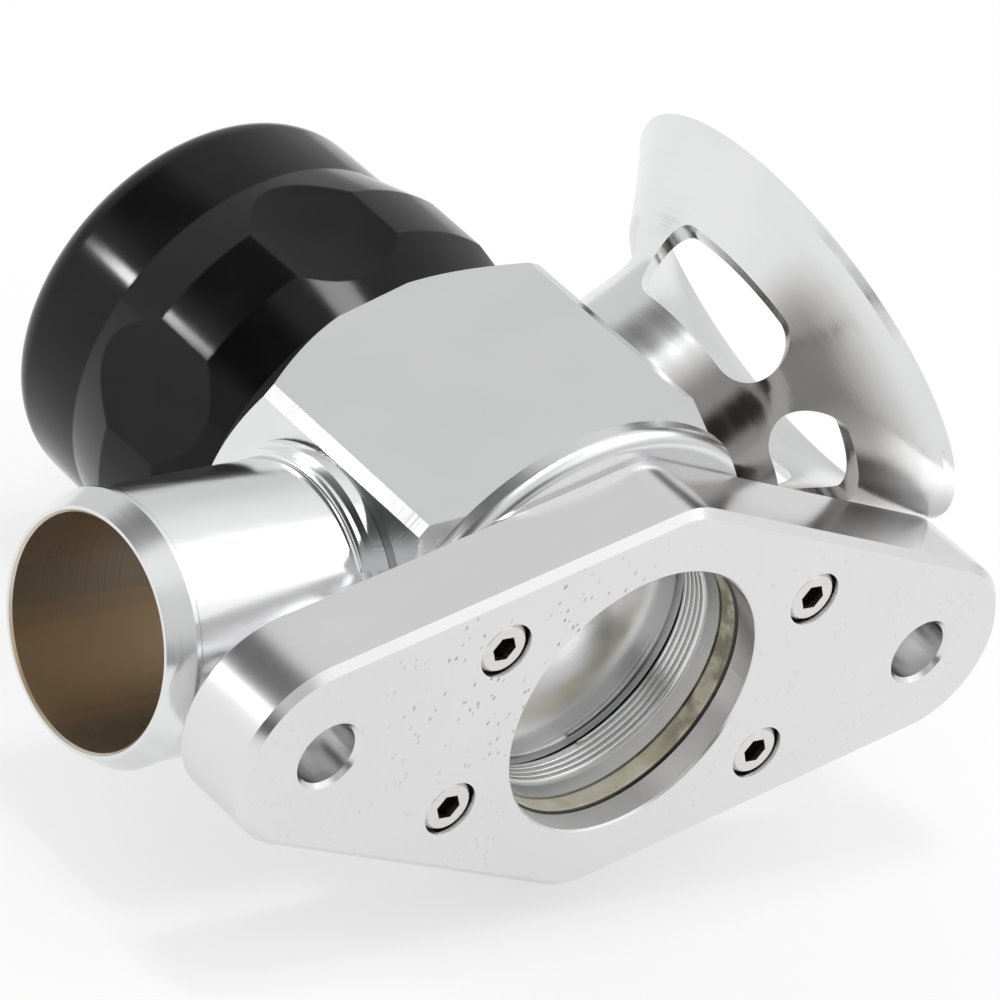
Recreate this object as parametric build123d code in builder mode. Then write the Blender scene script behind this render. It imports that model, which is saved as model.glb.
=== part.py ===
from build123d import *
import os
from math import atan2, cos, degrees, radians, sin

os.makedirs("parts", exist_ok=True)

# Blow off valve. Millimetres. The piston's axis is +Y, from the mating face of the flange (Y = 0) to the cap.
# X runs along the flange, from the hose outlet's end to the trumpet's end, and Z is up.
# Heights are measured along Y from the mating face. Azimuths turn about Y, from +X towards -Z.

# Clearances
SLIP = 0.05          # between pieces that are screwed or pushed together
RUN = 0.07           # a guide or seal running in its bore
AIR = 0.3            # between pieces that pass each other without touching

# Flange
MOUNT_SPACING = 78.0
MOUNT_HOLE_R = 3.3
FLANGE_THICK = 9.5
FLANGE_END_WALL = 7.2
FLANGE_END_R = MOUNT_HOLE_R + FLANGE_END_WALL
FLANGE_HALF_WIDTH = 22.1
FLANGE_SIDE_R = 7.8
FLANGE_EDGE = 0.8
FLANGE_BACK_EDGE = 0.4
HOLE_EDGE = 0.45
INLET_R = 15.0
INLET_EDGE = 0.2
INLET_LIP = 2.8

# Flange screws
SCREW_X = 20.3
SCREW_Z = 9.15
SCREW_R = 1.5
SCREW_LENGTH = 8.0
HEAD_R = 2.75
HEAD_H = 3.0
HEAD_SUNK = 0.3
HEAD_EDGE = 0.3
COUNTERBORE_GAP = 0.25
COUNTERBORE_R = HEAD_R + COUNTERBORE_GAP
HEX_AF = 2.5
HEX_DEPTH = 1.6

# Seal between the flange and the body
SEAL_H = 2.5
SEAL_W = 2.25
SEAL_EDGE = 0.5
SEAL_PROUD = 0.25
SEAL_R = INLET_R - SEAL_PROUD
SPIGOT_R = SEAL_R + SEAL_W

# Body
CYLINDER_R = 17.0
NECK_WALL = 3.0
NECK_R = CYLINDER_R + NECK_WALL
NECK_EDGE = 0.8
FOOT_R = 24.6
FOOT_T = 2.6
FOOT_TOP = FLANGE_THICK + FOOT_T
FOOT_EDGE = 1.5
COVE_R = 28.0
COVE_TOP = 13.9
BLOCK_TOP = 42.5
SHOULDER_R = 22.2
FACE_TRUMPET = 21.5
FACE_HOSE = 22.1
FACE_PLAIN = 21.8
AZ_HOSE = 177.65
AZ_PLAIN = -110.8
AZ_TRUMPET = -35.0
AZ_HIDDEN_1 = 36.15
AZ_HIDDEN_2 = 106.9
FOOT_CUT_TRUMPET = 24.0
FOOT_CUT_HOSE = 23.2
FOOT_RELIEF = 22.0
CORNER_BEVEL = 0.94
SEAT_H = 11.2
THROAT_STEP = 0.35
THROAT_R = SEAL_R - THROAT_STEP
THROAT_MOUTH = 1.4
THREAD_RELIEF_H = 0.7
THREAD_RELIEF_DEPTH = 0.8
THREAD_RELIEF_R = THROAT_R + THREAD_RELIEF_DEPTH

# Outlets
PORT_H = 26.0
PORT_BORE_R = 11.6
SPIGOT_WALL = 1.1
SPIGOT_PORT_R = PORT_BORE_R + SPIGOT_WALL
SPIGOT_DEPTH = 3.6
PORT_O_RING = 1.2
COLLAR_W = 2.05
COLLAR_R = SPIGOT_PORT_R + COLLAR_W
COLLAR_T = 0.6
STEP_IN = 0.55
STEP_R = COLLAR_R - STEP_IN
STEP_T = 0.95

# Hose outlet
COLLAR_GAP = 0.45
HOSE_COLLAR_T = 1.4
TUBE_WALL = 1.8
TUBE_R = PORT_BORE_R + TUBE_WALL
TUBE_FILLET = 0.4
BEAD_H = 0.25
BEAD_R = TUBE_R + BEAD_H
BEAD_BACK = 45.2
BEAD_LAND = 0.75
MOUTH_WALL = 0.6
MOUTH_R = PORT_BORE_R + MOUTH_WALL
MOUTH_L = 48.5
MOUTH_EDGE = 0.25

# Trumpet: the outside profile is given as distance from the piston's axis and radius
TRUMPET_WALL = 1.3
THROAT_OUT_R = 14.1
FLARE_START = 27.3
FLARE_KNEE = (30.6, 14.75)
FLARE_MID = (34.6, 17.7)
FLARE_END = (40.85, 23.6)
RIM = (41.55, 24.45)
RIM_FACE = 1.3
SLOT_COUNT = 4
SLOT_L = 31.1
SLOT_W = 7.2
SLOT_SPAN = 73.0
SLOT_TURN = 12.5

# Piston
STROKE = 14.0
SEATED_GAP = 0.05
PISTON_WALL = 2.3
FLOOR_T = 4.2
DISH_EDGE = 1.0
DISH_DEPTH = 1.9
NOSE_SEAL_W = 1.8
NOSE_SEAL_H = 1.3
NOSE_SEAL_EDGE = 0.25
RING_SECTION = 1.8
RING_LOW = 39.7
RING_HIGH = 43.4
PISTON_TOP = RING_HIGH + RING_SECTION
BAND_H = 1.3
BAND_T = 1.0
NECK_TOP = RING_HIGH + RING_SECTION / 2 + STROKE + NECK_EDGE

# Cap
CAP_SKIRT_R = 21.4
CAP_BELT_R = 23.65
BELT_LOW = 48.5
BELT_HIGH = 56.25
CROWN_LOW_R = 21.8
CROWN_LOW = 63.4
CROWN_HIGH_R = 21.6
CAP_TOP = 75.4
CROWN_FILLET = 4.0
CEILING = 4.5
CAVITY_STEP = 1.6
CAVITY_R = CYLINDER_R + CAVITY_STEP
CAVITY_GAP = 0.6
CAVITY_LOW = NECK_TOP + CAVITY_GAP
FLUTE_COUNT = 6
FLUTE_TURN = 192.6
FLUTE_R = 40.0
FLUTE_LOW = 44.5
FLUTE_LOW_R = 22.4
FLUTE_HIGH = 61.0
FLUTE_HIGH_R = 22.3
CAP_RING_SECTION = 1.6
CAP_TRAVEL = 4.5
CAP_RING_H = BLOCK_TOP + CAP_TRAVEL + CAP_RING_SECTION

# Spring and its seat
WIRE = 2.2
COIL_PITCH = 7.2
COIL_ROOM = 1.7
COIL_R = CYLINDER_R - AIR - PISTON_WALL - COIL_ROOM - WIRE / 2
SEAT_T = 2.6
SEAT_BOSS_H = 2.0
SEAT_HOLE_R = 5.0
WASHER_T = 0.8
WASHER_W = 3.6

# Vacuum nipple
NIPPLE_THREAD_R = 4.0
NIPPLE_HEX_AF = 11.0
NIPPLE_HEX_H = 3.5
NIPPLE_TUBE_R = 2.4
NIPPLE_BARB_H = 0.5
NIPPLE_BARB_R = NIPPLE_TUBE_R + NIPPLE_BARB_H
NIPPLE_TUBE_L = 8.0
NIPPLE_BORE_R = 1.3
NIPPLE_SEAL_T = 1.0
NIPPLE_SEAL_W = 1.4

# Directions and planes that everything shares
PISTON_AXIS = Axis.Y
ACROSS = Plane(origin=(0, 0, 0), x_dir=(1, 0, 0), z_dir=(0, 1, 0))


def outward(azimuth):
    """Unit direction away from the piston's axis."""
    return Vector(cos(radians(azimuth)), 0, -sin(radians(azimuth)))


def outlet_plane(azimuth, turn=0):
    """Section plane of an outlet: x is the distance from the piston's axis, y the radius about the port's axis."""
    direction = outward(azimuth)
    normal = direction.cross(Vector(0, 1, 0)).rotate(Axis((0, 0, 0), direction), turn)
    return Plane(origin=(0, PORT_H, 0), x_dir=direction, z_dir=normal)


def port_axis(azimuth):
    """Axis of an outlet, pointing outward."""
    return Axis((0, PORT_H, 0), outward(azimuth))


def face_plane(azimuth, distance):
    """Plane of a milled face: x runs across the face, y along the piston's axis, z outward."""
    direction = outward(azimuth)
    return Plane(origin=direction * distance, x_dir=Vector(0, 1, 0).cross(direction), z_dir=direction)


def corner(azimuth_a, distance_a, azimuth_b, distance_b):
    """Azimuth and distance of the bevel between two milled faces."""
    a, b = radians(azimuth_a), radians(azimuth_b)
    spread = sin(b - a)
    x = (distance_a * sin(b) - distance_b * sin(a)) / spread
    y = (distance_b * cos(a) - distance_a * cos(b)) / spread
    middle = atan2(sin(a) + sin(b), cos(a) + cos(b))
    half_turn = abs(atan2(sin(b - a), cos(b - a))) / 2
    distance = x * cos(middle) + y * sin(middle) - CORNER_BEVEL * sin(half_turn)
    return degrees(middle), distance


# Flange plate
with BuildPart() as flange:
    with BuildSketch(ACROSS):
        with GridLocations(MOUNT_SPACING, 0, 2, 1):
            Circle(FLANGE_END_R)
        with GridLocations(0, 2 * (FLANGE_HALF_WIDTH - FLANGE_SIDE_R), 1, 2):
            Circle(FLANGE_SIDE_R)
        make_hull()
    extrude(amount=FLANGE_THICK)
    chamfer(flange.faces().sort_by(PISTON_AXIS)[0].edges(), FLANGE_EDGE)
    chamfer(flange.faces().sort_by(PISTON_AXIS)[-1].edges(), FLANGE_BACK_EDGE)
    with BuildSketch(Plane.XY):
        with BuildLine():
            Polyline(
                (0, 0), (INLET_R + INLET_EDGE, 0), (INLET_R, INLET_EDGE), (INLET_R, INLET_LIP),
                (SPIGOT_R + SLIP, INLET_LIP), (SPIGOT_R + SLIP, FLANGE_THICK), (0, FLANGE_THICK), close=True,
            )
        make_face()
    revolve(axis=PISTON_AXIS, mode=Mode.SUBTRACT)
    with Locations(ACROSS.offset(FLANGE_THICK)):
        with GridLocations(MOUNT_SPACING, 0, 2, 1):
            Hole(MOUNT_HOLE_R)
        with GridLocations(2 * SCREW_X, 2 * SCREW_Z, 2, 2):
            Hole(SCREW_R + AIR)
    with BuildSketch(ACROSS):
        with GridLocations(2 * SCREW_X, 2 * SCREW_Z, 2, 2):
            Circle(COUNTERBORE_R)
    extrude(amount=HEAD_SUNK + HEAD_H, mode=Mode.SUBTRACT)
    mount_rims = flange.edges().filter_by(GeomType.CIRCLE).filter_by(lambda e: abs(e.radius - MOUNT_HOLE_R) < SLIP)
    chamfer(mount_rims, HOLE_EDGE)
flange.part.label = "flange_plate"
export_step(flange.part, "parts/flange_plate.step")

# Four socket head screws that hold the flange to the body
with BuildPart() as screws:
    with BuildSketch(ACROSS.offset(HEAD_SUNK)):
        with GridLocations(2 * SCREW_X, 2 * SCREW_Z, 2, 2):
            Circle(HEAD_R)
    extrude(amount=HEAD_H)
    rims = screws.faces().filter_by(PISTON_AXIS).group_by(PISTON_AXIS)[0].edges()
    chamfer(rims, HEAD_EDGE)
    with BuildSketch(ACROSS.offset(HEAD_SUNK + HEAD_H)):
        with GridLocations(2 * SCREW_X, 2 * SCREW_Z, 2, 2):
            Circle(SCREW_R)
    extrude(amount=SCREW_LENGTH)
    with BuildSketch(ACROSS.offset(HEAD_SUNK)):
        with GridLocations(2 * SCREW_X, 2 * SCREW_Z, 2, 2):
            RegularPolygon(HEX_AF / 2, 6, major_radius=False)
    extrude(amount=HEX_DEPTH, mode=Mode.SUBTRACT)
screws.part.label = "flange_screws"
export_step(screws.part, "parts/flange_screws.step")

# Seal ring squeezed between the flange's lip and the body's spigot
seal_low = INLET_LIP + 2 * SLIP
spigot_low = seal_low + SEAL_H + SLIP
with BuildPart() as flange_seal:
    with BuildSketch(Plane.XY):
        with Locations(((SEAL_R + SPIGOT_R) / 2, seal_low + SEAL_H / 2)):
            RectangleRounded(SEAL_W, SEAL_H, SEAL_EDGE)
    revolve(axis=PISTON_AXIS)
flange_seal.part.label = "flange_seal"
export_step(flange_seal.part, "parts/flange_seal.step")

# Valve body: a turned blank with five milled faces, bored for the piston and for two outlets
FACES = [
    (AZ_HOSE, FACE_HOSE, FOOT_TOP),
    (AZ_PLAIN, FACE_PLAIN, FOOT_TOP),
    (AZ_TRUMPET, FACE_TRUMPET, FOOT_TOP),
    (AZ_HIDDEN_1, FACE_PLAIN, FOOT_TOP),
    (AZ_HIDDEN_2, FACE_PLAIN, FOOT_TOP),
]
BEVELS = [corner(*FACES[i][:2], *FACES[(i + 1) % len(FACES)][:2]) for i in range(len(FACES))]
FOOT_CUTS = [(AZ_HOSE, FOOT_CUT_HOSE, FLANGE_THICK), (AZ_TRUMPET, FOOT_CUT_TRUMPET, FLANGE_THICK)]
CUTS = FACES + [(*bevel, FOOT_TOP) for bevel in BEVELS] + FOOT_CUTS
with BuildPart() as body:
    with BuildSketch(Plane.XY):
        with BuildLine():
            foot_flat = (FOOT_R - FOOT_EDGE, FLANGE_THICK)
            foot_side = (FOOT_R, FLANGE_THICK + FOOT_EDGE)
            Polyline((0, spigot_low), (SPIGOT_R, spigot_low), (SPIGOT_R, FLANGE_THICK), foot_flat)
            RadiusArc(foot_flat, foot_side, -FOOT_EDGE)
            Polyline(
                foot_side, (FOOT_R, FOOT_TOP), (COVE_R, COVE_TOP), (COVE_R, BLOCK_TOP - (COVE_R - SHOULDER_R)),
                (SHOULDER_R, BLOCK_TOP), (NECK_R, BLOCK_TOP), (NECK_R, NECK_TOP - NECK_EDGE),
                (NECK_R - NECK_EDGE, NECK_TOP), (0, NECK_TOP), (0, spigot_low),
            )
        make_face()
    revolve(axis=PISTON_AXIS)
    for azimuth, distance, floor in CUTS:
        with BuildSketch(face_plane(azimuth, distance)):
            with Locations((0, (floor + BLOCK_TOP) / 2)):
                Rectangle(2 * COVE_R, BLOCK_TOP - floor)
        extrude(amount=COVE_R, mode=Mode.SUBTRACT)
    # the foot stands out under the trumpet only on the side where a screw enters it close by
    with BuildSketch(face_plane(AZ_TRUMPET, FOOT_RELIEF)):
        with Locations((0, FLANGE_THICK)):
            Rectangle(COVE_R, FOOT_T, align=(Align.MAX, Align.MIN))
    extrude(amount=COVE_R, mode=Mode.SUBTRACT)
    with BuildSketch(Plane.XY):
        with BuildLine():
            Polyline(
                (0, spigot_low), (SEAL_R, spigot_low), (THROAT_R, spigot_low + THROAT_MOUTH),
                (THROAT_R, SEAT_H - THREAD_RELIEF_H), (THREAD_RELIEF_R, SEAT_H - THREAD_RELIEF_H),
                (THREAD_RELIEF_R, SEAT_H), (CYLINDER_R, SEAT_H), (CYLINDER_R, NECK_TOP - NECK_EDGE),
                (CYLINDER_R + NECK_EDGE, NECK_TOP), (0, NECK_TOP), close=True,
            )
        make_face()
        with Locations((NECK_R, CAP_RING_H)):
            Rectangle(2 * CAP_RING_SECTION, CAP_RING_SECTION + 2 * SLIP)
    revolve(axis=PISTON_AXIS, mode=Mode.SUBTRACT)
    for azimuth, distance, _ in (FACES[0], FACES[2]):
        with BuildSketch(outlet_plane(azimuth)):
            with BuildLine():
                Polyline(
                    (0, 0), (0, PORT_BORE_R), (distance - SPIGOT_DEPTH, PORT_BORE_R),
                    (distance - SPIGOT_DEPTH, SPIGOT_PORT_R + SLIP), (distance - PORT_O_RING, SPIGOT_PORT_R + SLIP),
                    (distance - PORT_O_RING, SPIGOT_PORT_R + PORT_O_RING), (distance, SPIGOT_PORT_R + PORT_O_RING),
                    (distance, COLLAR_R + AIR), (COVE_R, COLLAR_R + AIR), (COVE_R, 0), close=True,
                )
            make_face()
        revolve(axis=port_axis(azimuth), mode=Mode.SUBTRACT)
    with BuildSketch(ACROSS.offset(FLANGE_THICK)):
        with GridLocations(2 * SCREW_X, 2 * SCREW_Z, 2, 2):
            Circle(SCREW_R)
    extrude(amount=FOOT_TOP - FLANGE_THICK, mode=Mode.SUBTRACT)
body.part.label = "valve_body"
export_step(body.part, "parts/valve_body.step")


def o_rings(plane, axis, section, *centres):
    """Rings of round section about the axis, each centred on a point of the section plane."""
    with BuildPart() as rings:
        with BuildSketch(plane):
            with Locations(*centres):
                Circle(section / 2)
        revolve(axis=axis)
    return rings


# Hose outlet: screwed into its port, with a stepped collar and a rolled bead behind the mouth
hose_collar = FACE_HOSE + SLIP
collar_back = hose_collar + COLLAR_GAP
collar_front = collar_back + HOSE_COLLAR_T
collar_end = (collar_front + STEP_T, TUBE_R + TUBE_FILLET)
with BuildPart() as hose_outlet:
    with BuildSketch(outlet_plane(AZ_HOSE)):
        with BuildLine():
            back = (BEAD_BACK, TUBE_R)
            crest = (BEAD_BACK + BEAD_H, BEAD_R)
            land = (BEAD_BACK + BEAD_LAND, BEAD_R)
            Polyline(
                (MOUTH_L, MOUTH_R), (MOUTH_L, PORT_BORE_R + MOUTH_EDGE), (MOUTH_L - MOUTH_EDGE, PORT_BORE_R),
                (FACE_HOSE - SPIGOT_DEPTH + SLIP, PORT_BORE_R), (FACE_HOSE - SPIGOT_DEPTH + SLIP, SPIGOT_PORT_R),
                (hose_collar, SPIGOT_PORT_R), (hose_collar, STEP_R), (collar_back, STEP_R), (collar_back, COLLAR_R),
                (collar_front, COLLAR_R), (collar_front, STEP_R), (collar_front + STEP_T, STEP_R), collar_end,
            )
            tube_start = (collar_end[0] + TUBE_FILLET, TUBE_R)
            RadiusArc(collar_end, tube_start, -TUBE_FILLET)
            Line(tube_start, back)
            RadiusArc(back, crest, BEAD_H)
            Line(crest, land)
            Line(land, (MOUTH_L, MOUTH_R))
        make_face()
    revolve(axis=port_axis(AZ_HOSE))
hose_outlet.part.label = "hose_outlet"
export_step(hose_outlet.part, "parts/hose_outlet.step")

# Trumpet: open to the air, flared, with long rounded slots milled round its throat
trumpet_collar = FACE_TRUMPET + SLIP
with BuildPart() as trumpet:
    with BuildSketch(outlet_plane(AZ_TRUMPET)):
        with BuildLine():
            outer_start = (FLARE_START, THROAT_OUT_R)
            inner_start = (FLARE_START, THROAT_OUT_R - TRUMPET_WALL)
            inner_knee = (FLARE_KNEE[0], FLARE_KNEE[1] - TRUMPET_WALL)
            inner_mid = (FLARE_MID[0] + TRUMPET_WALL / 2, FLARE_MID[1] - TRUMPET_WALL)
            inner_end = (RIM[0], RIM[1] - RIM_FACE)
            Spline(outer_start, FLARE_KNEE, FLARE_MID, FLARE_END, tangents=[(1, 0), (1, 1)])
            Line(FLARE_END, RIM)
            Line(RIM, inner_end)
            Spline(inner_end, inner_mid, inner_knee, inner_start, tangents=[(-1, -1), (-1, 0)])
            Polyline(
                inner_start, (FACE_TRUMPET, PORT_BORE_R), (FACE_TRUMPET - SPIGOT_DEPTH + SLIP, PORT_BORE_R),
                (FACE_TRUMPET - SPIGOT_DEPTH + SLIP, SPIGOT_PORT_R), (trumpet_collar, SPIGOT_PORT_R),
                (trumpet_collar, COLLAR_R), (trumpet_collar + COLLAR_T, COLLAR_R),
                (trumpet_collar + COLLAR_T, THROAT_OUT_R), outer_start,
            )
        make_face()
    revolve(axis=port_axis(AZ_TRUMPET))
    # each slot is an arc of a ring between two holes of a round cutter
    end_turn = degrees(SLOT_W / 2 / FLARE_KNEE[1])
    for k in range(SLOT_COUNT):
        low = SLOT_TURN + k * 360 / SLOT_COUNT - SLOT_SPAN / 2 + end_turn
        arc = SLOT_SPAN - 2 * end_turn
        with BuildSketch(outlet_plane(AZ_TRUMPET, low)):
            with Locations((SLOT_L, 0)):
                Rectangle(SLOT_W, COVE_R, align=(Align.CENTER, Align.MIN))
        revolve(axis=port_axis(AZ_TRUMPET), revolution_arc=arc, mode=Mode.SUBTRACT)
        for turn in (low, low + arc):
            section = outlet_plane(AZ_TRUMPET, turn)
            centre = section.from_local_coords(Vector(SLOT_L, 0, 0))
            with BuildSketch(Plane(origin=centre, x_dir=section.x_dir, z_dir=section.y_dir)):
                Circle(SLOT_W / 2)
            extrude(amount=COVE_R, mode=Mode.SUBTRACT)
trumpet.part.label = "trumpet"
export_step(trumpet.part, "parts/trumpet.step")

# Seals under the two outlets' collars
port_ring_r = SPIGOT_PORT_R + SLIP + (PORT_O_RING - SLIP) / 2
hose_ring = o_rings(
    outlet_plane(AZ_HOSE), port_axis(AZ_HOSE), PORT_O_RING - 2 * SLIP, (FACE_HOSE - PORT_O_RING / 2, port_ring_r),
)
hose_ring.part.label = "hose_outlet_o_ring"
export_step(hose_ring.part, "parts/hose_outlet_o_ring.step")
trumpet_ring = o_rings(
    outlet_plane(AZ_TRUMPET), port_axis(AZ_TRUMPET), PORT_O_RING - 2 * SLIP,
    (FACE_TRUMPET - PORT_O_RING / 2, port_ring_r),
)
trumpet_ring.part.label = "trumpet_o_ring"
export_step(trumpet_ring.part, "parts/trumpet_o_ring.step")

# Piston: a cup, dished in front, that covers both ports when it sits on its seat
nose = SEAT_H + SEATED_GAP
skirt_r = CYLINDER_R - AIR
groove_r = CYLINDER_R - RUN - RING_SECTION
nose_r = skirt_r - NOSE_SEAL_W
band_low = (RING_LOW + RING_HIGH - BAND_H) / 2
with BuildPart() as piston:
    with BuildSketch(Plane.XY):
        with BuildLine():
            Polyline(
                (0, nose + DISH_DEPTH), (nose_r - DISH_EDGE, nose), (nose_r, nose), (nose_r, nose + NOSE_SEAL_H),
                (skirt_r, nose + NOSE_SEAL_H), (skirt_r, PISTON_TOP), (skirt_r - PISTON_WALL, PISTON_TOP),
                (skirt_r - PISTON_WALL, nose + FLOOR_T), (0, nose + FLOOR_T), close=True,
            )
        make_face()
        with Locations((CYLINDER_R, RING_LOW), (CYLINDER_R, RING_HIGH)):
            Rectangle(2 * (CYLINDER_R - groove_r), RING_SECTION + 2 * SLIP, mode=Mode.SUBTRACT)
        with Locations((CYLINDER_R, band_low + BAND_H / 2)):
            Rectangle(2 * (BAND_T + SLIP), BAND_H + 2 * SLIP, mode=Mode.SUBTRACT)
    revolve(axis=PISTON_AXIS)
piston.part.label = "piston"
export_step(piston.part, "parts/piston.step")

with BuildPart() as nose_seal:
    with BuildSketch(Plane.XY):
        with Locations((nose_r + NOSE_SEAL_W / 2, nose + NOSE_SEAL_H / 2)):
            RectangleRounded(NOSE_SEAL_W - 2 * SLIP, NOSE_SEAL_H - 2 * SLIP, NOSE_SEAL_EDGE)
    revolve(axis=PISTON_AXIS)
nose_seal.part.label = "piston_nose_seal"
export_step(nose_seal.part, "parts/piston_nose_seal.step")

ring_r = groove_r + RING_SECTION / 2
piston_rings = o_rings(Plane.XY, PISTON_AXIS, RING_SECTION - SLIP, (ring_r, RING_LOW), (ring_r, RING_HIGH))
piston_rings.part.label = "piston_o_rings"
export_step(piston_rings.part, "parts/piston_o_rings.step")

with BuildPart() as wear_band:
    with BuildSketch(Plane.XY):
        with Locations((CYLINDER_R - RUN - (BAND_T - RUN) / 2, band_low + BAND_H / 2)):
            Rectangle(BAND_T - RUN, BAND_H)
    revolve(axis=PISTON_AXIS)
wear_band.part.label = "piston_wear_band"
export_step(wear_band.part, "parts/piston_wear_band.step")

# Cap: a fluted cup that screws over the neck
cap_low = BLOCK_TOP + SEATED_GAP
ceiling = CAP_TOP - CEILING
flute_lean = degrees(atan2(FLUTE_HIGH_R - FLUTE_LOW_R, FLUTE_HIGH - FLUTE_LOW))
with BuildPart() as cap:
    with BuildSketch(Plane.XY):
        with BuildLine():
            Polyline(
                (0, cap_low), (CAP_SKIRT_R, cap_low), (CAP_BELT_R, BELT_LOW), (CAP_BELT_R, BELT_HIGH),
                (CROWN_LOW_R, CROWN_LOW), (CROWN_HIGH_R, CAP_TOP), (0, CAP_TOP), close=True,
            )
        make_face()
    revolve(axis=PISTON_AXIS)
    fillet(cap.faces().sort_by(PISTON_AXIS)[-1].edges(), CROWN_FILLET)
    for k in range(FLUTE_COUNT):
        direction = outward(FLUTE_TURN + k * 360 / FLUTE_COUNT)
        foot = direction * (FLUTE_LOW_R + FLUTE_R) + Vector(0, FLUTE_LOW, 0)
        along = Vector(0, cos(radians(flute_lean)), 0) + direction * sin(radians(flute_lean))
        with BuildSketch(Plane(origin=foot - along * FLUTE_R, x_dir=direction.cross(along), z_dir=along)):
            Circle(FLUTE_R)
        extrude(amount=2 * FLUTE_R, mode=Mode.SUBTRACT)
    with BuildSketch(Plane.XY):
        with BuildLine():
            Polyline(
                (0, cap_low), (NECK_R + AIR, cap_low), (NECK_R + AIR, CAVITY_LOW), (CAVITY_R, CAVITY_LOW),
                (CAVITY_R, ceiling), (NIPPLE_THREAD_R + SLIP, ceiling), (NIPPLE_THREAD_R + SLIP, CAP_TOP),
                (0, CAP_TOP), close=True,
            )
        make_face()
    revolve(axis=PISTON_AXIS, mode=Mode.SUBTRACT)
cap.part.label = "cap"
export_step(cap.part, "parts/cap.step")

cap_ring = o_rings(
    Plane.XY, PISTON_AXIS, CAP_RING_SECTION, (NECK_R + AIR - RUN - CAP_RING_SECTION / 2, CAP_RING_H),
)
cap_ring.part.label = "cap_o_ring"
export_step(cap_ring.part, "parts/cap_o_ring.step")

# Spring seat, washer and spring
seat_top = ceiling - SEATED_GAP
seat_face = seat_top - SEAT_T
boss_r = COIL_R - WASHER_W / 2 - SLIP
with BuildPart() as seat:
    with BuildSketch(Plane.XY):
        with BuildLine():
            Polyline(
                (SEAT_HOLE_R, seat_face - SEAT_BOSS_H), (boss_r, seat_face - SEAT_BOSS_H),
                (boss_r, seat_face), (CAVITY_R - AIR, seat_face), (CAVITY_R - AIR, seat_top),
                (SEAT_HOLE_R, seat_top), close=True,
            )
        make_face()
    revolve(axis=PISTON_AXIS)
seat.part.label = "spring_seat"
export_step(seat.part, "parts/spring_seat.step")

with BuildPart() as washer:
    with BuildSketch(ACROSS.offset(seat_face - WASHER_T)):
        Circle(COIL_R + WASHER_W / 2)
        Circle(COIL_R - WASHER_W / 2, mode=Mode.SUBTRACT)
    extrude(amount=WASHER_T)
washer.part.label = "spring_washer"
export_step(washer.part, "parts/spring_washer.step")

spring_low = nose + FLOOR_T
spring_high = seat_face - WASHER_T
coil_rise = spring_high - spring_low - 2 * WIRE
with BuildPart() as spring:
    with BuildLine():
        coil = Helix(
            pitch=coil_rise / round(coil_rise / COIL_PITCH), height=coil_rise, radius=COIL_R,
            center=(0, spring_low + WIRE, 0), direction=(0, 1, 0),
        )
    with BuildSketch(Plane(origin=coil @ 0, z_dir=coil % 0)):
        Circle(WIRE / 2)
    sweep()
    with BuildSketch(Plane.XY):
        with Locations((COIL_R, spring_low + WIRE / 2), (COIL_R, spring_high - WIRE / 2)):
            Circle(WIRE / 2)
    revolve(axis=PISTON_AXIS)
spring.part.label = "spring"
export_step(spring.part, "parts/spring.step")

# Vacuum nipple in the middle of the cap's top
hex_low = CAP_TOP + NIPPLE_SEAL_T
with BuildPart() as nipple_seal:
    with BuildSketch(ACROSS.offset(CAP_TOP)):
        Circle(NIPPLE_THREAD_R + NIPPLE_SEAL_W)
        Circle(NIPPLE_THREAD_R + SLIP, mode=Mode.SUBTRACT)
    extrude(amount=NIPPLE_SEAL_T)
nipple_seal.part.label = "nipple_seal"
export_step(nipple_seal.part, "parts/nipple_seal.step")

tube_low = hex_low + NIPPLE_HEX_H
tube_high = tube_low + NIPPLE_TUBE_L
barb = NIPPLE_TUBE_L / 3
with BuildPart() as nipple:
    with BuildSketch(ACROSS.offset(hex_low)):
        RegularPolygon(NIPPLE_HEX_AF / 2, 6, major_radius=False)
    extrude(amount=NIPPLE_HEX_H)
    with BuildSketch(Plane.XY):
        with BuildLine():
            Polyline(
                (0, ceiling), (NIPPLE_THREAD_R, ceiling), (NIPPLE_THREAD_R, hex_low), (NIPPLE_TUBE_R, hex_low),
                (NIPPLE_TUBE_R, tube_low + barb), (NIPPLE_BARB_R, tube_low + barb),
                (NIPPLE_TUBE_R, tube_low + 2 * barb), (NIPPLE_BARB_R, tube_low + 2 * barb),
                (NIPPLE_TUBE_R, tube_high), (0, tube_high), close=True,
            )
        make_face()
    revolve(axis=PISTON_AXIS)
    with BuildSketch(ACROSS.offset(ceiling)):
        Circle(NIPPLE_BORE_R)
    extrude(amount=tube_high - ceiling, mode=Mode.SUBTRACT)
nipple.part.label = "vacuum_nipple"
export_step(nipple.part, "parts/vacuum_nipple.step")
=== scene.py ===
from math import atan2, ceil, cos, pi, radians, sin, tau

import bmesh
import bpy
from mathutils import Matrix, Vector


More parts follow.
